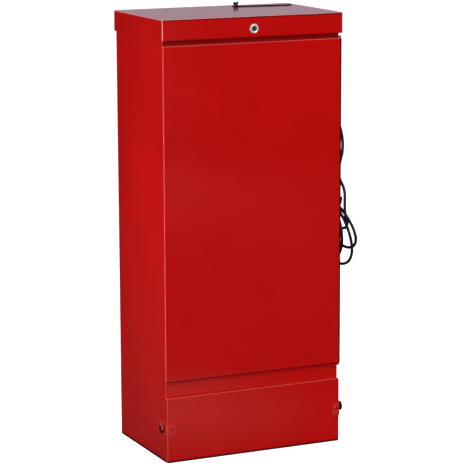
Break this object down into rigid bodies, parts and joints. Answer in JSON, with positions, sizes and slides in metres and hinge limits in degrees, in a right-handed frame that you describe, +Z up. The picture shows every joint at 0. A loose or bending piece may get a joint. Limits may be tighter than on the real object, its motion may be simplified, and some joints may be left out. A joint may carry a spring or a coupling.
{
  "type": "electric cabinet smoker",
  "caption": "Tall red sheet-steel smoking cabinet with a lockable hinged lid, a full-height door, a removable lower cover and a mains cord hung on its side.",
  "frame": {"origin": "middle of the flat underside of the floor pan", "axes": "+Z up, -Y out of the front, +X to the viewer's right"},
  "size_m": [0.531, 0.29, 1.0109],
  "materials": {
    "red_paint": "glossy red enamel on sheet steel",
    "red_paint_dark": "dark red enamel on the thumb screw heads",
    "zinc_steel": "bright zinc-plated steel",
    "stainless_wire": "polished stainless wire",
    "tray_steel": "rolled stainless sheet",
    "heater_sheath": "heat-darkened stainless sheath",
    "black_rubber": "matt black rubber",
    "black_plastic": "matt black moulded plastic",
    "silicone": "dark red silicone strip",
    "lock_chrome": "polished chrome",
    "dark_steel": "blackened steel",
    "magnet": "grey ferrite magnet in a steel cup"
  },
  "bodies": {
    "cabinet": {"floor_pan": "red_paint", "left_side_panel": "red_paint", "right_side_panel": "red_paint", "back_panel": "red_paint", "front_stiles": "red_paint", "header_rail": "red_paint", "middle_rail": "red_paint", "bottom_rail": "red_paint", "top_rim": "red_paint", "hinge_leaves_body": "red_paint", "door_bracket_top": "red_paint", "door_bracket_bottom": "red_paint", "panel_rivets": "red_paint", "lock_keeper": "zinc_steel", "chamber_floor": "zinc_steel", "rack_runners_left": "zinc_steel", "rack_runners_right": "zinc_steel", "rod_rails": "zinc_steel", "element_saddle": "zinc_steel", "tray_bars": "zinc_steel", "terminal_box": "zinc_steel", "cable_duct": "zinc_steel", "junction_box": "zinc_steel", "lid_hinge_pins": "zinc_steel", "screw_nuts": "zinc_steel", "rack_lower": "stainless_wire", "rack_middle": "stainless_wire", "rack_upper": "stainless_wire", "hanging_rods": "stainless_wire", "sawdust_tray_handle": "stainless_wire", "drip_tray": "tray_steel", "sawdust_tray": "tray_steel", "heating_element": "heater_sheath", "cord_boot": "black_rubber", "cord_lead": "black_rubber", "cord_coil": "black_rubber", "cord_tail": "black_rubber", "mains_plug": "black_rubber", "cable_gland": "black_plastic", "cord_hook": "black_plastic", "magnet_catches": "magnet"},
    "lid": {"lid_shell": "red_paint", "lid_seal": "silicone", "hinge_leaves_lid": "red_paint", "damper_bolt": "dark_steel", "lock_body": "lock_chrome"},
    "damper": {"damper_plate": "red_paint"},
    "wing_nut": {"wing_nut": "dark_steel"},
    "lock_core": {"lock_plug": "lock_chrome", "lock_cam": "dark_steel"},
    "door": {"door_shell": "red_paint", "door_liner": "zinc_steel", "door_pivot_blocks": "zinc_steel", "door_seal": "silicone", "door_strikers": "zinc_steel"},
    "cover": {"lower_cover": "red_paint", "cover_straps": "red_paint"},
    "screw_left": {"thumb_screw_left": "red_paint_dark"},
    "screw_right": {"thumb_screw_right": "red_paint_dark"}
  },
  "joints": [
    {"name": "lid_hinge", "type": "hinge", "parent": "cabinet", "child": "lid", "pos_m": [0, 0.143, 0.9495], "axis": [-1, 0, 0], "range_deg": [0, 100]},
    {"name": "damper_swing", "type": "hinge", "parent": "lid", "child": "damper", "pos_m": [0.068, 0.102, 1], "axis": [0, 0, -1], "range_deg": [0, 90]},
    {"name": "wing_nut_turn", "type": "hinge", "parent": "lid", "child": "wing_nut", "pos_m": [0.068, 0.102, 1], "axis": [0, 0, 1], "range_deg": [0, 360]},
    {"name": "lock_turn", "type": "hinge", "parent": "lid", "child": "lock_core", "pos_m": [0, -0.13, 0.972], "axis": [0, 1, 0], "range_deg": [0, 90]},
    {"name": "door_hinge", "type": "hinge", "parent": "cabinet", "child": "door", "pos_m": [0.216, -0.1365, 0.5], "axis": [0, 0, 1], "range_deg": [0, 110]},
    {"name": "cover_pull", "type": "slide", "parent": "cabinet", "child": "cover", "axis": [0, -1, 0], "range_m": [0, 0.1]},
    {"name": "thumb_screw_left_turn", "type": "hinge", "parent": "cabinet", "child": "screw_left", "pos_m": [-0.2165, -0.116, 0.078], "axis": [-1, 0, 0], "range_deg": [0, 360]},
    {"name": "thumb_screw_right_turn", "type": "hinge", "parent": "cabinet", "child": "screw_right", "pos_m": [0.2165, -0.116, 0.078], "axis": [1, 0, 0], "range_deg": [0, 360]}
  ]
}
